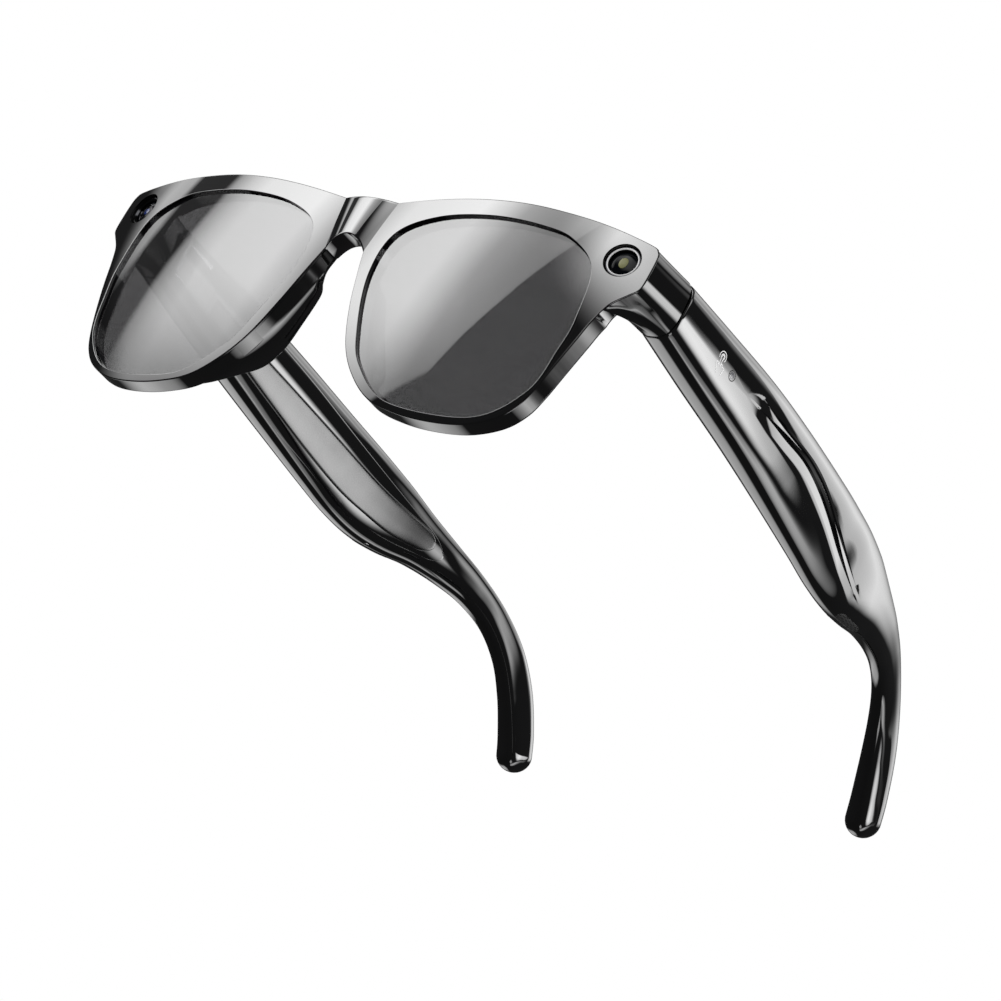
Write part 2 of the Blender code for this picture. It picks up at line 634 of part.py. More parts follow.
def build_electronics():
    block("battery_left", (64.9 * MM, 60.5 * MM, 10.1 * MM), (3.6 * MM, 22 * MM, 5.8 * MM), CELL_SILVER)
    block("battery_right", (-64.8 * MM, 67.5 * MM, 9.3 * MM), (3.6 * MM, 18 * MM, 7.2 * MM), CELL_SILVER)
    block("main_board", (-63.8 * MM, 47.5 * MM, 10.9 * MM), (0.8 * MM, 17 * MM, 5.2 * MM), BOARD_GREEN)
    block("processor_shield", (-65.2 * MM, 49 * MM, 10.9 * MM), (1.2 * MM, 9 * MM, 4.4 * MM), STEEL)
    block("touch_sensor", (68.2 * MM, 48 * MM, 10.8 * MM), (0.4 * MM, 12 * MM, 5 * MM), FLEX_AMBER)
    y, z = STATUS_AT
    shell = bpy.data.objects["temple_shell_left"]
    across = Matrix.Rotation(math.radians(90), 4, "Y")
    lamp_at = Matrix.Translation((0, y, z)) @ across
    boolean(shell, rod("cut_status", lamp_at, 1.3 * MM, 66 * MM, 75 * MM))
    rod("status_light", lamp_at, 1.0 * MM, 66.8 * MM, 70.0 * MM, LIGHT_PIPE)
    cover = bpy.data.objects["temple_cover_left"]
    for index, (y, z) in enumerate(CONTACTS_AT, 1):
        contact_at = Matrix.Translation((0, y, z)) @ across
        boolean(cover, rod(f"cut_contact_{index}", contact_at, 1.3 * MM, 50 * MM, 64 * MM))
        rod(f"charge_contact_{index}", contact_at, 1.0 * MM, 61.0 * MM, 62.6 * MM, GOLD)


def box_of(objects):
    graph = bpy.context.evaluated_depsgraph_get()
    points = []
    for obj in objects:
        found = obj.evaluated_get(graph)
        mesh = found.to_mesh()
        points += [obj.matrix_world @ vertex.co for vertex in mesh.vertices]
        found.to_mesh_clear()
    low = Vector([min(p[i] for p in points) for i in range(3)])
    high = Vector([max(p[i] for p in points) for i in range(3)])
    return low, high


def stand_on_table():
    """Parents every piece to an empty that leans the glasses onto rims and tips and sets the origin."""
    base = bpy.data.objects.new("glasses", None)
    bpy.context.scene.collection.objects.link(base)
    for obj in bpy.data.objects:
        if obj is not base:
            obj.parent = base
    base.rotation_euler.x = REST_LEAN
    bpy.context.view_layer.update()
    shown = [obj for obj in bpy.data.objects if obj.type == "MESH" and not obj.hide_render]
    low, high = box_of(shown)
    base.location = (-(low.x + high.x) / 2, -(low.y + high.y) / 2, -low.z)
    bpy.context.view_layer.update()


def main():
    clear_scene()
    build_front()
    build_nose_pads()
    build_eyes()
    build_hinges()
    for label, side in SIDES:
        build_temple(label, side)
    build_controls()
    build_electronics()
    stand_on_table()


main()
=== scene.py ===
import json
import math

import bmesh
import bpy
import numpy as np
from mathutils import Matrix, Vector


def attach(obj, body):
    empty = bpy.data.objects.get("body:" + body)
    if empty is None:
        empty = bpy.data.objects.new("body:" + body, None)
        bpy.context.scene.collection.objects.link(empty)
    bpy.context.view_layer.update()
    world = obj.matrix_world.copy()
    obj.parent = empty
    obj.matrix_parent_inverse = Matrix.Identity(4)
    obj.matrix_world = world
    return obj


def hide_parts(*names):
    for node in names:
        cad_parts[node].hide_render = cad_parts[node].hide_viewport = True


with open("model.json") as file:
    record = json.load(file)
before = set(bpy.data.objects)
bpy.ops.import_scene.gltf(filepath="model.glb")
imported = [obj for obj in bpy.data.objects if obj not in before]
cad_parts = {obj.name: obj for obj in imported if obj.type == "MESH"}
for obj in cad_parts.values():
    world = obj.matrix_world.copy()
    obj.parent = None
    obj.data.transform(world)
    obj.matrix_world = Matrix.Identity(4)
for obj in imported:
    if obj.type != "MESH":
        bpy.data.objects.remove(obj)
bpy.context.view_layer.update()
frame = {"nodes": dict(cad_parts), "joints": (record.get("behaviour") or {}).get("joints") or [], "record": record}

MM = 0.001
SIDES = (("left", 1), ("right", -1))

# The glasses are laid out in millimetres with the lens centres at z = 0, then set down like the frame.
joints = {joint["name"]: joint for joint in frame["joints"]}
along = joints["power_slide"]["axis"]
turn = Matrix.Rotation(math.atan2(along[2], along[1]), 4, "X")
PIVOT = Vector((60.6, 17.75, 12.75))
BASE = Matrix.Translation(Vector(joints["hinge_left"]["pos_m"]) - turn @ (PIVOT * MM)) @ turn
TO_ROW = BASE @ Matrix.Scale(MM, 4)


# ---------------------------------------------------------------- shapes

VALLEY, WRAP, CROWN = -0.14, 0.00332, 0.0028
BRIDGE_TOP, BRIDGE_BOTTOM = (6.8, 19.4), (4.9, 7.3)
BRIDGE_BULGE, BRIDGE_ARCH = 1.3, 3.2
RIM_OUTLINE = [
    (6.8, 19.4), (19.0, 21.2), (28.4, 22.2), (37.6, 22.6), (46.9, 22.2), (56.0, 21.3),
    (65.6, 19.5), (67.5, 18.5), (68.1, 16.6), (68.2, 11.2), (67.8, 9.3), (66.6, 8.0),
    (64.0, 5.0), (62.4, 1.0), (61.2, -3.5), (59.6, -9.0), (57.6, -15.2), (55.5, -19.4),
    (51.9, -22.8), (45.8, -25.3), (38.3, -26.1), (30.5, -25.6), (23.0, -23.6), (16.9, -19.1),
    (12.4, -13.4), (8.9, -5.5), (6.3, 2.6), (4.9, 7.3),
]
LENS_OPENING = [
    (59.0, 0.7), (57.2, 11.3), (50.6, 16.6), (43.0, 18.2), (31.3, 18.5), (18.9, 16.6),
    (10.6, 11.9), (9.5, 2.5), (13.6, -9.8), (18.1, -17.2), (28.2, -23.7), (46.8, -23.5),
    (56.1, -16.0), (58.5, -6.1),
]
LENS_CENTRE = np.array([35.0, -1.5])
RIM_DEPTH = 4.2
EYE = (62.0, 14.7)
EYE_RADIUS = 3.75
SEAM_Y = PIVOT.y
PIVOT_TILT = math.radians(-1.2)
POCKET_RADIUS, POCKET_ENDS = 1.75, (-4.6, 4.9)
TEMPLE_STATIONS = np.array([
    (18.0, 12.9, 65.3, 12.8, 8.9), (34.0, 11.7, 65.6, 15.0, 9.2), (51.0, 10.6, 65.7, 17.0, 9.0),
    (67.0, 9.2, 65.3, 18.5, 8.1), (83.5, 7.5, 64.6, 19.6, 7.0), (93.0, 6.5, 63.9, 20.0, 6.5),
    (101.0, 6.0, 63.1, 19.2, 6.4), (108.5, 5.9, 61.9, 16.8, 6.4), (116.5, 5.8, 60.1, 12.8, 6.2),
    (125.0, 5.3, 57.9, 10.0, 5.4), (133.0, 4.1, 55.3, 8.2, 4.7), (140.6, 1.4, 52.6, 7.6, 4.3),
    (147.4, -3.2, 50.3, 8.4, 4.3), (152.9, -9.3, 48.7, 9.3, 4.6), (157.3, -16.3, 47.5, 9.3, 5.0),
    (159.4, -20.8, 46.9, 8.8, 5.3),
])
POWER = 3.0


def smooth(points, steps, closed=False):
    """Points along a Catmull-Rom curve through the given ones."""
    points = np.asarray(points, float)
    count = len(points)
    found = []
    for i in range(count if closed else count - 1):
        around = [k % count if closed else min(max(k, 0), count - 1) for k in range(i - 1, i + 3)]
        a, b, c, d = points[around]
        for t in np.arange(steps) / steps:
            found.append(
                0.5 * (2 * b + (c - a) * t + (2 * a - 5 * b + 4 * c - d) * t * t + (3 * b - a - 3 * c + d) * t**3)
            )
    if not closed:
        found.append(points[-1])
    return np.array(found)


def curve(knots):
    """A smooth function through (place, value) knots."""
    line = smooth(knots, 12)
    return lambda at: np.interp(at, line[:, 0], line[:, 1])


def bridge_half(z):
    share = (z - BRIDGE_BOTTOM[1]) / (BRIDGE_TOP[1] - BRIDGE_BOTTOM[1])
    return BRIDGE_BOTTOM[0] + (BRIDGE_TOP[0] - BRIDGE_BOTTOM[0]) * share


def face_depth(x, z):
    """y of the rims' front face."""
    return VALLEY * np.abs(x) + WRAP * x * x + CROWN * z * z


def bridge_depth(u, z):
    half = bridge_half(z)
    return VALLEY * half + WRAP * half**2 + CROWN * z * z - BRIDGE_BULGE * (1 - u * u)


def radii(outline, centre, angles):
    """Distance from the centre to a star-shaped outline at each angle."""
    away = outline - centre
    at = np.arctan2(away[:, 1], away[:, 0]) % (2 * np.pi)
    order = np.argsort(at)
    return np.interp(angles, at[order], np.hypot(*away.T)[order], period=2 * np.pi)


def eye_place(side):
    """Local Z goes into the frame along the face's normal at the camera or the light."""
    x, z = EYE
    slope_x, slope_z = (VALLEY + 2 * WRAP * x) * side, 2 * CROWN * z
    back = Vector((-slope_x, 1, -slope_z)).normalized()
    right = Vector((0, 0, 1)).cross(back).normalized()
    axes = Matrix((right, back.cross(right), back)).transposed().to_4x4()
    return Matrix.Translation((x * side, face_depth(x, z), z)) @ axes


# ---------------------------------------------------------------- meshes


def finished(obj, look, body, stands_for=(), angle=32):
    obj.data.materials.clear()
    obj.data.materials.append(look)
    obj.data.shade_smooth()
    obj.data.set_sharp_from_angle(angle=math.radians(angle))
    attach(obj, body)
    if stands_for:
        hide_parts(*stands_for)
    return obj


def grid(name, rows, wrap_rows=False, caps=True):
    """A mesh over rows of points in millimetres, set down in the row frame."""
    rows = np.asarray(rows, float)
    m, n = rows.shape[:2]
    index = np.arange(m * n).reshape(m, n)
    faces = []
    for i in range(m if wrap_rows else m - 1):
        for j in range(n):
            a, b = index[i], index[(i + 1) % m]
            faces.append([a[j], a[(j + 1) % n], b[(j + 1) % n], b[j]])
    if caps and not wrap_rows:
        faces += [list(index[0][::-1]), list(index[-1])]
    mesh = bpy.data.meshes.new(name)
    points = [TO_ROW @ Vector(p) for p in rows.reshape(-1, 3)]
    mesh.from_pydata(points, [], [[int(k) for k in face] for face in faces])
    mesh.update()
    obj = bpy.data.objects.new(name, mesh)
    bpy.context.scene.collection.objects.link(obj)
    return obj


def outwards(obj):
    """Turns a closed mesh's faces outwards."""
    bm = bmesh.new()
    bm.from_mesh(obj.data)
    bmesh.ops.recalc_face_normals(bm, faces=bm.faces)
    if bm.calc_volume(signed=True) < 0:
        bmesh.ops.reverse_faces(bm, faces=bm.faces)
    bm.to_mesh(obj.data)
    bm.free()
    return obj


def lathe(name, profile, place, sides=72):
    """A profile of (radius, height) turned about the local Z of a placing matrix."""
    rows = []
    for radius, height in profile:
        turned = []
        for i in range(sides):
            a = 2 * math.pi * i / sides
            turned.append(place @ Vector((radius * math.cos(a), radius * math.sin(a), height)))
        rows.append(turned)
    closed = profile[0][0] > 0.01
    return outwards(grid(name, rows, wrap_rows=closed, caps=not closed))


def cut(obj, *cutters):
    """Cuts the cutters out of obj for good and removes them."""
    for cutter in cutters:
        modifier = obj.modifiers.new("cut", "BOOLEAN")
        modifier.operation = "DIFFERENCE"
        modifier.object = cutter
        modifier.solver = "EXACT"
    bpy.context.view_layer.update()
    graph = bpy.context.evaluated_depsgraph_get()
    mesh = bpy.data.meshes.new_from_object(obj.evaluated_get(graph))
    obj.modifiers.clear()
    obj.data = mesh
    for cutter in cutters:
        bpy.data.objects.remove(cutter)
    return obj


def true_face_normals(obj, half_side):
    """Gives the front face its exact normals, so that cuts leave no dents in its reflections."""
    mesh = obj.data
    back = TO_ROW.inverted()
    corners = [Vector(corner.vector) for corner in mesh.corner_normals]
    places = [back @ v.co for v in mesh.vertices]
    spin = TO_ROW.to_3x3().normalized()
    for polygon in mesh.polygons:
        for loop in polygon.loop_indices:
            p = places[mesh.loops[loop].vertex_index]
            if abs(p.y - face_depth(p.x, p.z)) > 0.003:
                break
        else:
            for loop in polygon.loop_indices:
                p = places[mesh.loops[loop].vertex_index]
                slope_x = VALLEY * math.copysign(1, half_side) + 2 * WRAP * p.x
                corners[loop] = (spin @ Vector((slope_x, -1, 2 * CROWN * p.z))).normalized()
    mesh.normals_split_custom_set(corners)


def quarter(radius, steps, start, end):
    """Points of an arc between two angles in degrees, as (cos, sin) times the radius."""
    return [
        (radius * math.cos(math.radians(a)), radius * math.sin(math.radians(a)))
        for a in np.linspace(start, end, steps)
    ]


# ---------------------------------------------------------------- materials


def plastic(name, colour, rough, rough_range, bump, grain, ior=1.5, metallic=0.0, cloudy=0.2):
    """Moulded plastic or metal: a base colour with slight clouding, uneven polish and a fine texture."""
    made = bpy.data.materials.new(name)
    made.use_nodes = True
    nodes, links = made.node_tree.nodes, made.node_tree.links
    shader = nodes["Principled BSDF"]
    place = nodes.new("ShaderNodeTexCoord")
    cloud = nodes.new("ShaderNodeTexNoise")
    cloud.inputs["Scale"].default_value = 90
    cloud.inputs["Detail"].default_value = 5
    links.new(place.outputs["Object"], cloud.inputs["Vector"])
    tint = nodes.new("ShaderNodeValToRGB")
    tint.color_ramp.elements[0].color = (*[c * (1 - cloudy) for c in colour], 1)
    tint.color_ramp.elements[1].color = (*[min(1, c * (1 + cloudy)) for c in colour], 1)
    links.new(cloud.outputs["Fac"], tint.inputs["Fac"])
    links.new(tint.outputs["Color"], shader.inputs["Base Color"])
    polish = nodes.new("ShaderNodeMapRange")
    polish.inputs["From Min"].default_value = 0.35
    polish.inputs["From Max"].default_value = 0.65
    polish.inputs["To Min"].default_value = rough
    polish.inputs["To Max"].default_value = rough + rough_range
    links.new(cloud.outputs["Fac"], polish.inputs["Value"])
    links.new(polish.outputs["Result"], shader.inputs["Roughness"])
    if bump:
        fine = nodes.new("ShaderNodeTexNoise")
        fine.inputs["Scale"].default_value = grain
        fine.inputs["Detail"].default_value = 3
        links.new(place.outputs["Object"], fine.inputs["Vector"])
        relief = nodes.new("ShaderNodeBump")
        relief.inputs["Strength"].default_value = 1
        relief.inputs["Distance"].default_value = bump
        links.new(fine.outputs["Fac"], relief.inputs["Height"])
        links.new(relief.outputs["Normal"], shader.inputs["Normal"])
    shader.inputs["IOR"].default_value = ior
    shader.inputs["Metallic"].default_value = metallic
    return made


def tinted_glass(name, colour, ior=1.5):
    """Polished sun-lens glass, slightly uneven in its tint."""
    made = bpy.data.materials.new(name)
    made.use_nodes = True
    nodes, links = made.node_tree.nodes, made.node_tree.links
    shader = nodes["Principled BSDF"]
    output = nodes["Material Output"]
    place = nodes.new("ShaderNodeTexCoord")
    cloud = nodes.new("ShaderNodeTexNoise")
    cloud.inputs["Scale"].default_value = 30
    links.new(place.outputs["Object"], cloud.inputs["Vector"])
    tint = nodes.new("ShaderNodeValToRGB")
    tint.color_ramp.elements[0].color = (*[c * 0.95 for c in colour], 1)
    tint.color_ramp.elements[1].color = (*[min(1, c * 1.05) for c in colour], 1)
    links.new(cloud.outputs["Fac"], tint.inputs["Fac"])
    clear = nodes.new("ShaderNodeBsdfTransparent")
    links.new(tint.outputs["Color"], clear.inputs["Color"])
    shader.inputs["Base Color"].default_value = (0.004, 0.004, 0.0045, 1)
    shader.inputs["Roughness"].default_value = 0.02
    shader.inputs["IOR"].default_value = ior
    inside = nodes.new("ShaderNodeNewGeometry")
    share = nodes.new("ShaderNodeMapRange")
    share.inputs["To Min"].default_value = 0.9
    share.inputs["To Max"].default_value = 0.0
    links.new(inside.outputs["Backfacing"], share.inputs["Value"])
    mix = nodes.new("ShaderNodeMixShader")
    links.new(share.outputs["Result"], mix.inputs["Fac"])
    links.new(clear.outputs["BSDF"], mix.inputs[1])
    links.new(shader.outputs["BSDF"], mix.inputs[2])
    links.new(mix.outputs["Shader"], output.inputs["Surface"])
    return made


GLOSS = plastic("gloss_black_look", (0.006, 0.006, 0.0065), 0.012, 0.02, 0.0000004, 900, ior=1.9)
DARK = plastic("dark_recess_look", (0.004, 0.004, 0.004), 0.3, 0.1, 0, 1)
SATIN = plastic("satin_black_look", (0.006, 0.006, 0.0065), 0.13, 0.05, 0.0000012, 5000, ior=1.65)
LENS = tinted_glass("lens_grey_look", (0.74, 0.74, 0.745), ior=1.75)
GLASS = plastic("dark_glass_look", (0.002, 0.0025, 0.004), 0.01, 0.01, 0, 1, ior=1.2)
STEEL = plastic("hinge_steel_look", (0.5, 0.5, 0.51), 0.25, 0.12, 0.000003, 3000, metallic=1.0)
BEZEL = plastic("bezel_metal_look", (0.04, 0.04, 0.043), 0.12, 0.06, 0.000001, 2500, metallic=1.0)
# The light ring's look is polished metal with a white emission added below: its reflections are real, and the extra
# glow is painted light.
GLOWING_RING = plastic("polished_ring_painted_glow_look", (0.8, 0.8, 0.81), 0.15, 0.05, 0, 1)
GOLD = plastic("contact_gold_look", (0.83, 0.62, 0.27), 0.2, 0.1, 0.000002, 3000, metallic=1.0)
BOARD = plastic("board_green_look", (0.008, 0.03, 0.014), 0.35, 0.1, 0.00001, 2000)
FLEX = plastic("flex_amber_look", (0.45, 0.22, 0.05), 0.35, 0.1, 0.000005, 2000)
CELL = plastic("cell_silver_look", (0.6, 0.6, 0.62), 0.3, 0.12, 0.000008, 700, metallic=0.9)
EMITTER = plastic("emitter_yellow_look", (0.2, 0.2, 0.055), 0.4, 0.2, 0.00002, 2600)
PIPE = plastic("light_pipe_look", (0.28, 0.28, 0.3), 0.1, 0.06, 0.000002, 3000)
# The white print's colour is real; the emission added below is painted glow.
GLOWING_INK = plastic("white_print_painted_glow_look", (0.8, 0.8, 0.8), 0.5, 0.1, 0, 1)
# Both looks emit white light: a painted glow, so the print and the light ring shine brighter than lit colour alone
# would make them, though neither is a lamp.
for lit, glow in ((GLOWING_INK, 0.5), (GLOWING_RING, 0.35)):
    lit.node_tree.nodes["Principled BSDF"].inputs["Emission Color"].default_value = (1, 1, 1, 1)
    lit.node_tree.nodes["Principled BSDF"].inputs["Emission Strength"].default_value = glow
BLUE = plastic("coated_glass_look", (0.01, 0.03, 0.16), 0.03, 0.02, 0, 1, ior=1.4)


# ---------------------------------------------------------------- front


def rim(label, side):
    outer = np.vstack([smooth(RIM_OUTLINE, 10), [(4.3, 9.0), (5.6, 19.1)]])
    opening = smooth(LENS_OPENING, 16, closed=True)
    angles = np.linspace(0, 2 * np.pi, 400, endpoint=False)
    for corner in (BRIDGE_TOP, BRIDGE_BOTTOM, (4.3, 9.0)):
        away = np.array(corner) - LENS_CENTRE
        angles = np.append(angles, math.atan2(away[1], away[0]) % (2 * np.pi))
    angles = np.sort(angles)
    near = radii(opening, LENS_CENTRE, angles)
    far = radii(outer, LENS_CENTRE, angles)
    edge_in, edge_out, edge_back = 0.16, 0.2, 0.55
    rows = []
    for angle, start, end in zip(angles, near, far):
        ray = np.array([math.cos(angle), math.sin(angle)])
        section = []
        first, last = start + edge_in, end - edge_out
        for share in [0, 0.03, *np.linspace(0.12, 0.88, 7), 0.97, 1]:
            section.append((first + (last - first) * share, 0))
        for c, s in quarter(edge_out, 4, 90, 0)[1:]:
            section.append((end - edge_out + c, edge_out - s))
        section += [(end, edge_out + 0.1), (end, RIM_DEPTH - edge_back - 0.1)]
        for c, s in quarter(edge_back, 5, 0, 90):
            section.append((end - edge_back + c, RIM_DEPTH - edge_back + s))
        for c, s in quarter(edge_back, 5, 90, 180):
            section.append((start + edge_back + c, RIM_DEPTH - edge_back + s))
        section += [(start, RIM_DEPTH - edge_back - 0.1), (start, edge_in + 0.1)]
        for c, s in quarter(edge_in, 4, 180, 90)[:-1]:
            section.append((start + edge_in + c, edge_in - s))
        x, z = LENS_CENTRE + ray * end
        thin = 0.8 * min(max((x - 58) / 2, 0), 1) * min(max((z - 2) / 4, 0), 1)
        row = []
        for r, depth in section:
            if r > (start + end) / 2 and depth > edge_out:
                r -= thin
            x, z = LENS_CENTRE + ray * r
            row.append((x * side, face_depth(x, z) + depth, z))
        rows.append(row)
    return outwards(grid(f"rim_{label}", rows, wrap_rows=True))


def eye_hole(name, side, radius, low, high):
    return lathe(name, [(0.0001, low), (radius, low), (radius, high), (0.0001, high)], eye_place(side))


def hinge_pocket(side):
    """Room for the hinge, along the axis that the record gives it."""
    place = Matrix.Translation((PIVOT.x * side, PIVOT.y, PIVOT.z))
    place = place @ Matrix.Rotation(PIVOT_TILT * side, 4, "Y")
    low, high = POCKET_ENDS
    profile = [(0.0001, low), (POCKET_RADIUS, low), (POCKET_RADIUS, high), (0.0001, high)]
    return lathe("cut_pocket", profile, place)


def bridge():
    rows = []
    edge = 0.18
    for u in np.linspace(-1, 1, 49):
        low = BRIDGE_BOTTOM[1] + BRIDGE_ARCH * (1 - u * u)
        high = BRIDGE_TOP[1]
        section = []
        for share in [0, 0.03, *np.linspace(0.12, 0.88, 7), 0.97, 1]:
            section.append((low + edge + (high - low - 2 * edge) * share, 0))
        for c, s in quarter(edge, 4, 90, 0)[1:]:
            section.append((high - edge + c, edge - s))
        section += [(high, edge + 0.1), (high, 3.4), (high - 0.3, 4.0), (high - 0.9, 4.25)]
        swell = 0.9 * (1 - u * u)
        section += [(12.9, 4.4 + swell), (low + 1.6, 4.8 + swell), (low + 0.75, 4.6 + swell)]
        section += [(low + 0.22, 4.2 + swell), (low, 3.7 + swell), (low, 2.5), (low, edge + 0.1)]
        for c, s in quarter(edge, 4, 180, 90)[:-1]:
            section.append((low + edge + c, edge - s))
        row = []
        for z, depth in section:
            half = bridge_half(min(max(z, BRIDGE_BOTTOM[1]), BRIDGE_TOP[1]))
            row.append((u * half, float(bridge_depth(u, z)) + depth, z))
        rows.append(row)
    return outwards(grid("bridge", rows))


def end_piece(label, side):
    """From inside the front plate's corner back to the seam with the temple."""
    outer = smooth(RIM_OUTLINE, 10)
    corner = outer[(outer[:, 0] > 56) & (outer[:, 1] > -6)]
    centre = np.array([62.6, 13.3])
    angles = np.linspace(-np.pi, np.pi, 120, endpoint=False)
    away = corner - centre
    at = np.arctan2(away[:, 1], away[:, 0])
    order = np.argsort(at)
    reach = np.interp(angles, at[order], np.hypot(*away.T)[order])
    turned = np.degrees(angles)
    turn_in = np.clip(np.where(turned < 0, (-turned - 84) / 42, (turned - 97) / 38), 0, 1)
    turn_in = turn_in * turn_in * (3 - 2 * turn_in)
    y, z_c, x_c, height, width = TEMPLE_STATIONS[0]
    c, s = np.cos(angles), np.sin(angles)
    back = (np.abs(2 * c / width) ** POWER + np.abs(2 * s / height) ** POWER) ** (-1 / POWER)
    under = np.clip((-s - 0.72) / 0.25, 0, 1)
    under = under * under * (3 - 2 * under)
    plain = (np.abs(c / 5.55) ** POWER + np.abs(s / 6.6) ** POWER) ** (-1 / POWER)
    front = plain + (np.minimum(reach, 9.8) - plain) * under
    front = np.minimum(front, reach) + (4.8 - np.minimum(front, reach)) * turn_in
    held = 0.24 * np.clip((84 + turned) / 14, 0, 1)
    rows = []
    seam = SEAM_Y - 0.2
    for share in [0, 0.01, 0.03, *np.linspace(0.06, 0.97, 24), 0.985, 1.0]:
        late = np.clip((share - held) / (1 - held), 0, 1)
        blend = share + (1 - (1 - late) ** 1.8 - share) * under
        middle = centre + (np.array([x_c, z_c]) - centre) * share
        radius = front + 0.04 + (back - front) * blend
        if share > 0.99:
            radius = radius - 0.25
        if share == 0:
            radius = radius - 0.2
        x = middle[0] + radius * c
        z = middle[1] + radius * s
        start = face_depth(x, z) + 0.2
        depth = start + (seam - start) * share
        rows.append(np.stack([x * side, depth, z], axis=1))
    return outwards(grid(f"end_piece_{label}", rows))


def nose_pad(label, side):
    """A fin behind the nose side of the rim, splayed away from the nose as it goes back."""
    line = smooth([
        (4.7, 8.3, 4.5), (4.9, 7.3, 4.6), (5.7, 4.5, 4.9), (6.3, 2.6, 6.3), (6.9, 0.6, 8.4), (8.9, -5.5, 9.8),
        (11.1, -10.9, 10.8), (13.9, -15.6, 10.4), (17.0, -19.2, 7.6), (20.7, -22.2, 5.2), (24.0, -23.7, 4.3),
    ], 8)
    rows = []
    for i, (x0, z0, depth) in enumerate(line):
        step = line[min(i + 1, len(line) - 1)] - line[max(i - 1, 0)]
        step = step[:2] / np.hypot(*step[:2])
        out = np.array([-step[1], step[0]])
        splay = 0.22 * max(depth - 4.0, 0)
        thick = 0.85
        section = []
        for share in np.linspace(0, 1, 9):
            d = 0.6 + (depth - thick - 0.6) * share
            lateral = splay * max((d - 4.0) / max(depth - 4.0, 0.5), 0) ** 1.5
            section.append((lateral - 0.04, d))
        tip = section[-1][0]
        for c, s in quarter(thick, 9, 180, 0)[1:]:
            section.append((tip + thick + c, depth - thick + s))
        section += [(tip + 2 * thick + 0.1, depth - thick - 0.3), (2.3 + tip * 0.35, 4.4)]
        section += [(2.1, 3.2), (1.2, 0.8)]
        row = []
        for across, d in section:
            x, z = x0 + out[0] * across, z0 + out[1] * across
            row.append((x * side, face_depth(x, z) + d, z))
        rows.append(row)
    return outwards(grid(f"nose_fin_{label}", rows))


def lens(label, side):
    opening = smooth(LENS_OPENING, 12, closed=True)
    angles = np.linspace(0, 2 * np.pi, 160, endpoint=False)
    reach = radii(opening, LENS_CENTRE, angles) + 0.5
    front_at, back_at = 0.7, 2.6
    rings = [(share, front_at) for share in (0.002, 0.15, 0.3, 0.45, 0.6, 0.75, 0.9, 1)]
    rings += [(share, back_at) for share in (1, 0.9, 0.75, 0.6, 0.45, 0.3, 0.15, 0.002)]
    rows = []
    for share, depth in rings:
        x = LENS_CENTRE[0] + np.cos(angles) * reach * share
        z = LENS_CENTRE[1] + np.sin(angles) * reach * share
        rows.append(np.stack([x * side, face_depth(x, z) + depth, z], axis=1))
    return outwards(grid(f"sun_lens_{label}", rows))


def build_front():
    for label, side in SIDES:
        hole = [eye_hole(f"cut_{k}", side, EYE_RADIUS, -2, 2.9) for k in range(2)]
        rim_obj = cut(rim(label, side), hole[0])
        finished(rim_obj, GLOSS, "front")
        true_face_normals(rim_obj, side)
        end = end_piece(label, side)
        finished(cut(end, hole[1], hinge_pocket(side)), GLOSS, "front")
        pad = nose_pad(label, side)
        finished(pad, GLOSS, "front", [f"nose_pad_{label}"])
        finished(lens(label, side), LENS, "front", [f"lens_{label}"], angle=60)
    finished(bridge(), GLOSS, "front", ["front_frame"])


def build_eyes():
    for kind, side in (("camera", -1), ("light", 1)):
        place = eye_place(side)
        wall = [(3.72, 2.85), (3.72, 0.35), (3.6, 0.3), (3.55, 0.5), (3.5, 2.3), (0.0001, 2.5), (0.0001, 2.85)]
        well = lathe(f"{kind}_well", wall[::-1], place)
        finished(well, DARK, "front")
        profile = [(3.42, 2.4), (3.42, 0.75), (3.3, 0.62), (3.1, 0.62), (2.72, 0.95), (2.72, 2.4)]
        finished(lathe(f"{kind}_rim", profile, place), BEZEL, "front", [f"{kind}_bezel"])
        if kind == "light":
            ring = [(3.16, 0.75), (3.14, 0.5), (3.05, 0.42), (2.96, 0.5), (2.94, 0.75)]
            # The ring's look carries a painted glow besides its polished reflections.
            finished(lathe("light_ring", ring, place), GLOWING_RING, "front")
        glass = [(0.0001, 0.95), (1.6, 1.0), (2.4, 1.12), (2.7, 1.3), (2.7, 1.9), (0.0001, 1.9)]
        finished(lathe(f"{kind}_glass", glass, place), GLASS, "front", [f"{kind}_window"])
    place = eye_place(1)
    chip = [(0.0001, 0.86), (0.8, 0.88), (0.93, 0.93), (0.97, 1.02), (0.97, 1.3), (0.0001, 1.3)]
    oval = place @ Matrix.Diagonal((0.95, 1.25, 1, 1))
    finished(lathe("light_chip", chip, oval), EMITTER, "front")
    place = eye_place(-1)
    iris = [(1.75, 0.92), (1.7, 0.86), (1.6, 0.84), (1.5, 0.9), (1.5, 1.1), (1.75, 1.1)]
    finished(lathe("camera_iris", iris, place), BEZEL, "front")
    pupil = [(0.0001, 0.82), (0.5, 0.86), (0.75, 0.95), (0.8, 1.1), (0.0001, 1.1)]
    finished(lathe("camera_pupil", pupil, place), BLUE, "front")


# ---------------------------------------------------------------- temples

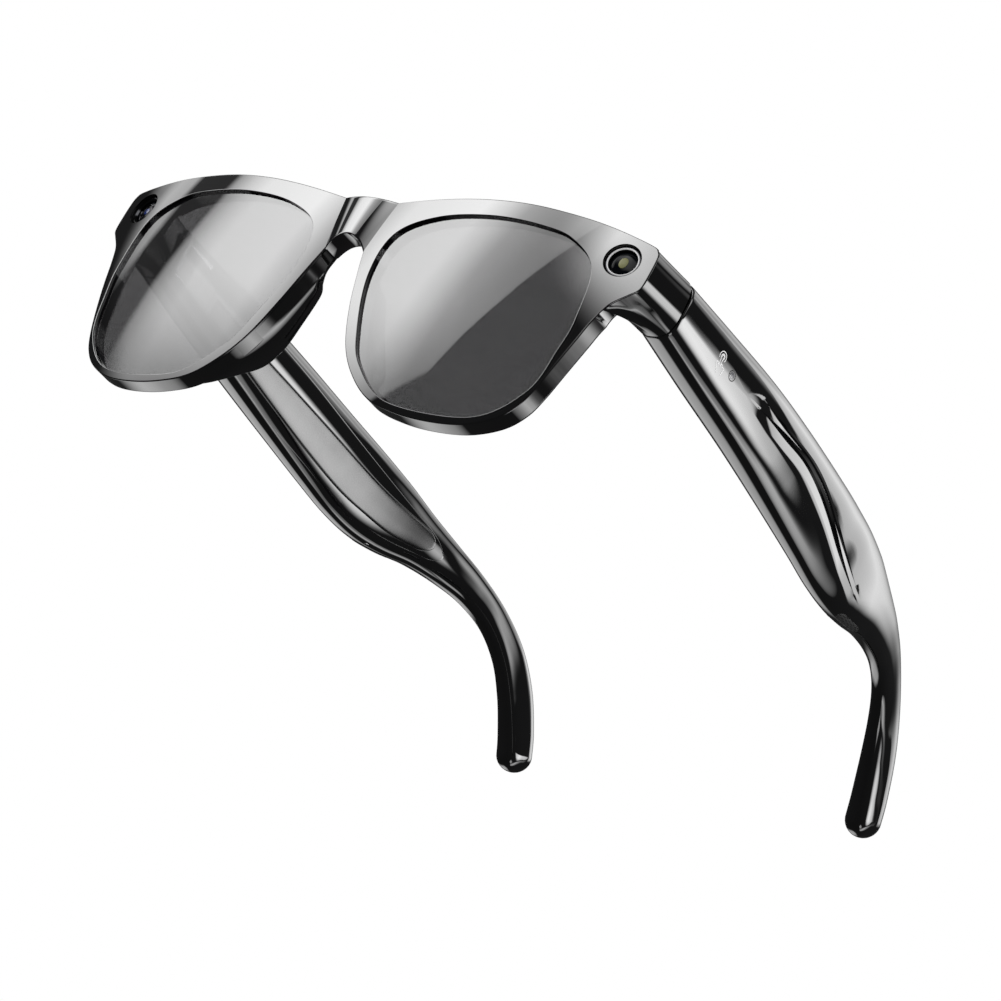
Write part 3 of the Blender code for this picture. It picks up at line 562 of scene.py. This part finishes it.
RIDGE_1 = curve([
    (43.4, 11.1), (45.0, 12.2), (47.9, 13.0), (54.2, 12.9), (62.8, 13.3), (71.5, 13.2), (79.0, 11.7),
    (86.6, 9.0), (93.5, 6.4), (99.9, 4.0), (105.5, 2.4),
])
RIDGE_2 = curve([
    (43.4, 10.8), (48.6, 10.9), (54.2, 11.5), (61.7, 12.1), (69.2, 12.3), (76.8, 11.0), (84.4, 8.6),
    (93.4, 4.9), (100.5, 2.4), (105.5, 1.4),
])
RIDGE_3 = curve([
    (43.4, 10.5), (45.0, 9.6), (47.3, 9.1), (53.0, 8.8), (59.9, 8.9), (66.4, 9.0), (72.6, 8.5), (79.3, 7.0),
    (86.1, 5.0), (91.2, 3.3), (96.5, 1.2), (105.5, -1.0),
])
RISE = curve([
    (45.2, 0), (47.6, 0.05), (50.6, 0.24), (55.0, 0.6), (62, 1), (75, 0.95), (86, 0.8), (94, 0.5),
    (100, 0.2), (104, 0.03), (106, 0),
])


def outer_columns(low, middle, high):
    """Places up the outer face from -1 to 1 and how far each is sunk, with a step at the middle and the high line."""

    def round_part(start, end, count):
        angles = [math.asin(math.copysign(abs(t) ** (POWER / 2), t)) for t in (start, end)]
        turned = np.sin(np.linspace(*angles, count))
        return np.sign(turned) * np.abs(turned) ** (2 / POWER)

    columns = [(t, 0.0) for t in round_part(-1, low, 22)]
    columns += [(low + (middle - low) * k, 0.75 * k) for k in np.linspace(0, 1, 9)[1:]]
    columns += [(middle + 0.012 + (high - middle - 0.012) * k, 0.5 * k) for k in np.linspace(0, 1, 7)]
    return columns + [(t, 0.0) for t in round_part(high + 0.012, 1, 22)]


def temple(label, side):
    stations = smooth(TEMPLE_STATIONS, 16)
    travel = np.concatenate([[0], np.cumsum(np.hypot(*np.diff(stations[:, :2], axis=0).T))])
    places = np.arange(0, travel[-1], 0.75)
    stations = np.stack([np.interp(places, travel, stations[:, k]) for k in range(5)], axis=1)
    rows = []
    last = len(stations) - 1
    for i, (y, z, x, height, width) in enumerate(stations):
        before, after = stations[max(i - 1, 0)], stations[min(i + 1, last)]
        drop = math.atan2(before[1] - after[1], after[0] - before[0])
        rounds = [(0.0, 0.0)]
        if i == 0:
            rounds = [(0.0, 0.28), (0.08, 0.1), (0.3, 0.0)]
        if i == last:
            rounds = [(0.0, 0.0)] + [
                (height * 0.42 * math.sin(v), -(1 - math.cos(v)))
                for v in np.radians([12, 24, 36, 48, 60, 70, 80, 87])
            ]
        rise = float(RISE(y))
        warp = min(max((y - 30) / 12, 0), 1) * min(max((118 - y) / 12, 0), 1)
        lines = [
            usual + (min(max(2 * (float(ridge(y)) - z) / height, -0.85), 0.85) - usual) * warp
            for usual, ridge in ((-0.25, RIDGE_3), (0.1, RIDGE_2), (0.35, RIDGE_1))
        ]
        columns = outer_columns(*lines)
        for reach, inset in rounds:
            if inset < 0:
                w_now, h_now = width * (1 + inset), height * (1 + inset)
            else:
                w_now, h_now = width - 2 * inset, height - 2 * inset
            ring = []
            for t, sunk in columns:
                p = (1 - min(abs(t), 1) ** POWER) ** (1 / POWER) * w_now / 2
                ring.append((p - sunk * rise, t * h_now / 2))
            for t, _ in columns[-2:0:-1]:
                p = (1 - min(abs(t), 1) ** POWER) ** (1 / POWER) * w_now / 2
                ring.append((-p, t * h_now / 2))
            row = []
            for p, q in ring:
                at_y = y + reach * math.cos(drop) + q * math.sin(drop)
                at_z = z - reach * math.sin(drop) + q * math.cos(drop)
                row.append(((x + p) * side, at_y, at_z))
            rows.append(row)
    return outwards(grid(f"temple_body_{label}", rows))


def station_at(y):
    return [np.interp(y, TEMPLE_FINE[:, 0], TEMPLE_FINE[:, k]) for k in range(5)]


TEMPLE_FINE = smooth(TEMPLE_STATIONS, 16)
SEAM_LOW = curve([
    (31.5, 4.0), (46.0, 2.7), (54.0, 2.2), (67.0, 0.9), (79.0, -0.1), (88.0, -1.2), (94.0, -1.3),
    (100.0, -0.8), (107.0, 0.1), (114.0, 1.6), (121.5, 3.2),
])
SEAM_HIGH = curve([
    (31.5, 15.2), (50.0, 15.8), (68.0, 15.0), (84.0, 13.4), (98.0, 11.6), (110.0, 9.6), (115.0, 8.7),
    (121.5, 6.6),
])


def on_temple(y, z, side, outer, proud=0.0):
    """A point on the inner or outer face of a temple at (y, z)."""
    _, z_c, x_c, height, width = station_at(y)
    z = min(max(z, z_c - 0.47 * height), z_c + 0.47 * height)
    t = abs(2 * (z - z_c) / height)
    p = (1 - t**POWER) ** (1 / POWER) * width / 2 + proud
    return ((x_c + (p if outer else -p)) * side, y, z)


def patch(name, side, edges, ends, proud, soft):
    """A thin plate over part of a temple's inner face, between two edge lines, with rounded ends."""
    lower, upper = edges
    start, stop = ends
    rows = []
    for y in np.concatenate([start + np.array([0, 0.1, 0.3, 0.7]), np.linspace(start + 1.5, stop - 4, 70),
                             stop - np.array([3.3, 2.6, 2.0, 1.5, 1.0, 0.6, 0.3, 0.1, 0.02])]):
        low, high = float(lower(y)), float(upper(y))
        near_end = min(y - start, stop - y) / soft
        if stop - y < 4:
            middle, half = (low + high) / 2, (high - low) / 2
            half *= math.sqrt(max(1 - ((4 - stop + y) / 4) ** 2, 0.0004))
            low, high = middle - half, middle + half
        front = []
        for share in [0, 0.01, 0.025, 0.05, *np.linspace(0.1, 0.9, 13), 0.95, 0.975, 0.99, 1]:
            z = low + (high - low) * share
            rim_share = min(share, 1 - share) * (high - low) / soft
            rise = math.sin(math.pi / 2 * min(rim_share, near_end, 1))
            front.append(on_temple(y, z, side, False, proud * rise + 0.004))
        back = [on_temple(y, low + (high - low) * s, side, False, -0.5) for s in (0.98, 0.5, 0.02)]
        rows.append(front + back)
    return outwards(grid(name, rows))


PANEL_LOW = curve([
    (30, 8.2), (36, 7.3), (48, 5.4), (60, 3.9), (73, 2.4), (86, 1.2), (92, 0.9), (98, 1.0), (106, 1.2),
    (112.5, 2.2), (119, 3.6),
])
PANEL_HIGH = curve([
    (30, 12.2), (42, 11.6), (52, 10.9), (66, 10.5), (83, 9.9), (100, 8.8), (108, 8.5), (114, 8.4),
    (119, 8.2),
])


def tube(name, points, radius, sides=8, closed=False):
    """A round cord of print along points on the temple's outer face, in millimetres."""
    points = [Vector(p) for p in points]
    rows = []
    count = len(points)
    for i, p in enumerate(points):
        before = points[(i - 1) % count] if closed or i else points[0]
        after = points[(i + 1) % count] if closed or i < count - 1 else points[-1]
        ahead = (after - before).normalized()
        across = ahead.cross(Vector((1, 0, 0))).normalized()
        row = []
        for k in range(sides):
            v = 2 * math.pi * k / sides
            row.append(p + across * radius * math.cos(v) + Vector((0.3 * radius * math.sin(v), 0, 0)))
        rows.append(row)
    return outwards(grid(name, rows, wrap_rows=closed, caps=not closed))


def print_on(points, side=1):
    return [on_temple(y, z, side, True, 0.02) for y, z in points]


def build_icon():
    """A plain touch mark: two arcs over a pointing fingertip, and a small ring behind it."""
    tip_y, tip_z = 32.6, 12.4
    pieces = []
    for radius in (0.55, 1.05):
        turns = [math.radians(v) for v in np.linspace(-35, 215, 24)]
        pieces.append([(tip_y + radius * math.cos(v), tip_z + radius * math.sin(v)) for v in turns])
    finger = [(0.3, -2.0), (0.3, 0.0), (0.2, 0.25), (0, 0.33), (-0.2, 0.25), (-0.3, 0.0), (-0.3, -1.9)]
    hand = [(-0.3, -1.9), (-0.75, -1.5), (-1.05, -1.65), (-0.95, -2.1), (-0.3, -3.0), (0.1, -3.5)]
    knuckles = [(0.3, -1.5), (0.75, -1.35), (0.95, -1.7), (1.4, -1.7), (1.55, -2.2), (1.45, -3.4)]
    for shape in (finger, hand, knuckles):
        pieces.append([(tip_y + y, tip_z + z) for y, z in smooth(shape, 6)])
    for number, piece in enumerate(pieces, 1):
        # The print's look has a painted glow on top of its white colour.
        mark = tube(f"touch_mark_{number}", print_on(piece), 0.085)
        finished(mark, GLOWING_INK, "temple_left", angle=80)
    around = np.linspace(0, 2 * np.pi, 48, endpoint=False)
    ring = [(37.2 + 1.0 * math.cos(v), 11.1 + 1.0 * math.sin(v)) for v in around]
    halo = tube("status_ring", print_on(ring), 0.1, closed=True)
    finished(halo, DARK, "temple_left", angle=80)
    centre = Vector(on_temple(37.2, 11.1, 1, True))
    place = Matrix.Translation(centre) @ Matrix.Rotation(math.radians(90), 4, "Y")
    disc = [(0.0001, 0.02), (0.6, 0.015), (0.86, -0.02), (0.86, -0.4), (0.0001, -0.4)]
    lamp = lathe("status_lamp", disc, place)
    finished(lamp, PIPE, "temple_left", ["status_light"])


def grille(label, side):
    """A pierced plate along the lower outer edge of the temple, over the speaker."""
    rows = []
    for y in np.linspace(102.5, 112.5, 41):
        _, z_c, x_c, height, width = station_at(y)
        end = min((y - 102.5) / 2.0, (112.5 - y) / 2.0, 1)
        spread = math.sqrt(max(1 - (1 - end) ** 2, 0.0))
        row = []
        angles = np.radians(np.linspace(-86 + 16 * (1 - spread), -54 - 16 * (1 - spread), 13))
        for a in angles:
            p = abs(math.cos(a)) ** (2 / POWER) * (width / 2 + 0.02)
            q = -abs(math.sin(a)) ** (2 / POWER) * (height / 2 + 0.02)
            row.append(((x_c + p) * side, y, z_c + q))
        for a in angles[::-4]:
            p = abs(math.cos(a)) ** (2 / POWER) * (width / 2 - 0.6)
            q = -abs(math.sin(a)) ** (2 / POWER) * (height / 2 - 0.6)
            row.append(((x_c + p) * side, y, z_c + q))
        rows.append(row)
    return outwards(grid(f"sound_mesh_{label}", rows))


def mesh_look():
    """Woven steel mesh: rows of dark holes in a grey plate."""
    made = plastic("sound_mesh_look", (0.03, 0.03, 0.03), 0.35, 0.1, 0, 1)
    nodes, links = made.node_tree.nodes, made.node_tree.links
    shader = nodes["Principled BSDF"]
    place = nodes.new("ShaderNodeTexCoord")
    holes = nodes.new("ShaderNodeTexVoronoi")
    holes.inputs["Scale"].default_value = 2400
    holes.inputs["Randomness"].default_value = 0.2
    links.new(place.outputs["Object"], holes.inputs["Vector"])
    ramp = nodes.new("ShaderNodeValToRGB")
    ramp.color_ramp.elements[0].position = 0.34
    ramp.color_ramp.elements[0].color = (0.004, 0.004, 0.004, 1)
    ramp.color_ramp.elements[1].position = 0.46
    ramp.color_ramp.elements[1].color = (0.07, 0.07, 0.07, 1)
    links.new(holes.outputs["Distance"], ramp.inputs["Fac"])
    links.new(ramp.outputs["Color"], shader.inputs["Base Color"])
    return made


def build_temples():
    woven = mesh_look()
    for label, side in SIDES:
        body = temple(label, side)
        cut(body, hinge_pocket(side))
        finished(body, GLOSS, f"temple_{label}", [f"temple_shell_{label}"], angle=24)
        seam = patch(f"inner_cover_{label}", side, (SEAM_LOW, SEAM_HIGH), (31.5, 121.5), 0.05, 0.12)
        finished(seam, GLOSS, f"temple_{label}", [f"temple_cover_{label}"])
        panel = patch(f"inner_panel_{label}", side, (PANEL_LOW, PANEL_HIGH), (33.0, 118.4), 0.16, 0.5)
        finished(panel, SATIN, f"temple_{label}", angle=60)
        finished(grille(label, side), woven, f"temple_{label}")


# ---------------------------------------------------------------- frame nodes that stay

NODE_LOOKS = {
    "gloss_black": GLOSS, "satin_black": SATIN, "lens_grey": LENS, "dark_glass": GLASS, "hinge_steel": STEEL,
    "bezel_metal": BEZEL, "contact_gold": GOLD, "board_green": BOARD, "flex_amber": FLEX,
    "cell_silver": CELL, "emitter_yellow": EMITTER, "light_pipe": PIPE,
}


def dress_nodes():
    slots = {part["node"]: part["material_slot"] for part in frame["record"]["subparts"]}
    for name, node in frame["nodes"].items():
        node.data.materials.clear()
        node.data.materials.append(NODE_LOOKS[slots[name]])
        node.data.shade_smooth()
        node.data.set_sharp_from_angle(angle=math.radians(35))


# ---------------------------------------------------------------- studio


def studio_world():
    """Soft boxes round the glasses, seen in their gloss, with a white paper background."""
    world = bpy.data.worlds.new("studio")
    bpy.context.scene.world = world
    world.use_nodes = True
    nodes, links = world.node_tree.nodes, world.node_tree.links
    nodes.clear()

    def math_node(kind, a, b=None):
        node = nodes.new("ShaderNodeMath")
        node.operation = kind
        for socket, value in enumerate((a, b)):
            if value is None:
                continue
            if isinstance(value, (int, float)):
                node.inputs[socket].default_value = value
            else:
                links.new(value, node.inputs[socket])
        return node.outputs[0]

    def ramp(value, low, high):
        node = nodes.new("ShaderNodeMapRange")
        node.interpolation_type = "SMOOTHSTEP"
        node.inputs["From Min"].default_value = low
        node.inputs["From Max"].default_value = high
        links.new(value, node.inputs["Value"])
        return node.outputs["Result"]

    place = nodes.new("ShaderNodeTexCoord")
    split = nodes.new("ShaderNodeSeparateXYZ")
    links.new(place.outputs["Generated"], split.inputs[0])
    x, y, z = split.outputs
    degrees = 180 / math.pi
    azimuth = math_node("MULTIPLY", math_node("ARCTAN2", x, math_node("MULTIPLY", y, -1.0)), degrees)
    turned = math_node("WRAP", azimuth, 360.0)
    nodes[-1].inputs[2].default_value = 0.0
    height = math_node("MULTIPLY", math_node("ARCSINE", z), degrees)

    total = None
    for box in SOFT_BOXES:
        around = turned if box["stops"][-1][0] > 180 or box["stops"][0][0] > 60 else azimuth
        first, last = box["stops"][0][0], box["stops"][-1][0]
        share = nodes.new("ShaderNodeMapRange")
        share.inputs["From Min"].default_value = first
        share.inputs["From Max"].default_value = last
        links.new(around, share.inputs["Value"])
        band = nodes.new("ShaderNodeValToRGB")
        stops = band.color_ramp.elements
        while len(stops) < len(box["stops"]):
            stops.new(0.5)
        for stop, (angle, light) in zip(stops, box["stops"]):
            stop.position = (angle - first) / (last - first)
            stop.color = (light / 10, light / 10, light / 10, 1)
        links.new(share.outputs["Result"], band.inputs["Fac"])
        part = band.outputs["Color"]
        for lean, pivot_az, start, end in box["edges"]:
            level = height
            if lean:
                away = math_node("SUBTRACT", around, pivot_az)
                level = math_node("SUBTRACT", height, math_node("MULTIPLY", away, lean))
            part = math_node("MULTIPLY", part, ramp(level, start, end))
        total = part if total is None else math_node("ADD", total, part)
    total = math_node("ADD", math_node("MULTIPLY", total, 10.0), 0.04)
    studio = nodes.new("ShaderNodeBackground")
    links.new(total, studio.inputs["Color"])
    paper = nodes.new("ShaderNodeBackground")
    paper.inputs["Color"].default_value = (1, 1, 1, 1)
    paper.inputs["Strength"].default_value = 1.0
    path = nodes.new("ShaderNodeLightPath")
    mix = nodes.new("ShaderNodeMixShader")
    links.new(path.outputs["Is Camera Ray"], mix.inputs["Fac"])
    links.new(studio.outputs[0], mix.inputs[1])
    links.new(paper.outputs[0], mix.inputs[2])
    output = nodes.new("ShaderNodeOutputWorld")
    links.new(mix.outputs[0], output.inputs["Surface"])


# Each soft box has its light by azimuth in degrees, 0 in front of the glasses (-Y) and 90 at +X, and
# edges that fade it in or out with elevation: lean against azimuth, azimuth of its pivot, and the
# elevations it starts and ends at. The levels were read off the reflections in the photograph.
SOFT_BOXES = [
    # the front box, cut off on its right by a curved flag
    {
        "stops": [
            (-100, 0), (-97, 1.5), (-88, 3.0), (-81, 1.4), (-78, 2.4), (-75, 2.2), (-73.5, 0.1), (-66, 0.1), (-64.5, 2.2),
            (-61, 4.2), (-57, 5.8), (-50, 6.6), (-44, 7.2), (-40, 5.6), (-36, 3.2), (-30, 2.1), (-26, 1.7), (-22, 0),
        ],
        "edges": [(0.54, -31, 14, 15), (2.14, -32, 14.8, 15.6), (-0.8, -60, 6, 12), (0, 0, 3, 22), (0, 0, 47, 40)],
    },
    # above the flag
    {
        "stops": [(-34, 0), (-29, 1.4), (-25, 3.6), (-19, 7.0), (-12, 5.2), (-4, 3.4), (25, 2.5), (40, 0)],
        "edges": [(-0.5, -15, 22.5, 33.5), (0, 0, 52, 42)],
    },
    # a big box on the wearer's left, with a dark gap above it
    {
        "stops": [
            (106, 0), (109, 1.6), (112, 3.4), (117, 4.8), (121, 5.2), (127, 6.2), (131, 7.0), (134, 6.2), (138, 4.5),
            (141, 3.6), (145, 2.8), (145.8, 2.4), (146.6, 0),
        ],
        "edges": [(1.9, 142, 10, 15), (-1.2, 127, -8, 4), (0, 0, -6, 11), (0.1, 127, 22.1, 20)],
    },
    {
        "stops": [
            (151.6, 0), (153, 2.9), (158, 3.3), (165, 3.9), (171, 3.2), (178, 2.3), (190, 1.0), (205, 0.4), (212, 0),
        ],
        "edges": [(0.25, 163, 11, 20.5), (0, 0, 44, 38)],
    },
    {"stops": [(142, 0), (145, 0.6), (151.6, 1.2), (153, 0)], "edges": [(0, 0, 30, 36), (0, 0, 46, 40)]},
    {
        "stops": [(104, 0), (108, 2.0), (111, 2.8), (115, 2.4), (121, 1.2), (130, 0)],
        "edges": [(0.5, 111, 23, 29), (0, 0, 44, 36)],
    },
    {
        "stops": [(132, 0), (139, 1.2), (160, 1.7), (180, 2.0), (196, 1.1), (210, 0)],
        "edges": [(0, 0, 38, 43), (0, 0, 56, 50)],
    },
    # strips below
    {
        "stops": [(119, 0), (123, 0.8), (128, 1.1), (132, 1.7), (136, 3.4), (140, 2.0), (144, 0.8), (146.5, 0)],
        "edges": [(2.0, 136, -3, -12), (0, 0, -52, -44)],
    },
    {"stops": [(210, 0), (217, 1.2), (224, 1.8), (233, 2.0), (244, 0)], "edges": [(0, 0, -50, -42), (0, 0, -10, -24)]},
    {"stops": [(96, 0), (102, 2.4), (117, 2.4), (121, 0)], "edges": [(0, 0, -48, -42), (0, 0, -24, -32)]},
]


def build_floor():
    """A pale table top that shows only from above."""
    made = plastic("floor_look", (0.9, 0.9, 0.9), 0.7, 0.05, 0.00001, 900, ior=1.2, cloudy=0.015)
    nodes, links = made.node_tree.nodes, made.node_tree.links
    nodes["Principled BSDF"].inputs["Emission Color"].default_value = (1, 1, 1, 1)
    nodes["Principled BSDF"].inputs["Emission Strength"].default_value = 0.28
    below = nodes.new("ShaderNodeNewGeometry")
    clear = nodes.new("ShaderNodeBsdfTransparent")
    mix = nodes.new("ShaderNodeMixShader")
    links.new(below.outputs["Backfacing"], mix.inputs["Fac"])
    links.new(nodes["Principled BSDF"].outputs[0], mix.inputs[1])
    links.new(clear.outputs[0], mix.inputs[2])
    links.new(mix.outputs[0], nodes["Material Output"].inputs["Surface"])
    mesh = bpy.data.meshes.new("floor")
    corners = [(-3, -3, 0), (3, -3, 0), (3, 3, 0), (-3, 3, 0)]
    mesh.from_pydata([(x, y, -0.0002) for x, y, _ in corners], [], [(0, 1, 2, 3)])
    floor = bpy.data.objects.new("floor", mesh)
    bpy.context.scene.collection.objects.link(floor)
    floor.data.materials.append(made)
    floor.visible_glossy = False
    floor.visible_diffuse = False
    floor.visible_transmission = False
    floor.visible_shadow = False


# The photograph's camera, from a least-squares fit to points in the photograph.
FOCAL_PIXELS = 5561.58


def build_studio():
    scene = bpy.context.scene
    build_floor()
    scene.view_settings.view_transform = "Standard"
    studio_world()
    # The photograph's camera, in the millimetres of the layout.
    eye = Vector((713.5, -689.3, -389.5))
    right = Vector((0.75815, 0.50181, 0.41640))
    down = Vector((0.11117, 0.52976, -0.84083))
    ahead = Vector((-0.64253, 0.68377, 0.34585))
    axes = Matrix((right, -down, -ahead)).transposed().to_4x4()
    camera = bpy.data.cameras.new("camera")
    camera.sensor_width = 36
    camera.lens = FOCAL_PIXELS / 1001 * camera.sensor_width
    camera.clip_start = 0.05
    holder = bpy.data.objects.new("camera", camera)
    scene.collection.objects.link(holder)
    place = turn @ axes
    place.translation = TO_ROW @ eye
    holder.matrix_world = place
    scene.camera = holder


dress_nodes()
build_front()
build_eyes()
build_temples()
build_icon()
build_studio()
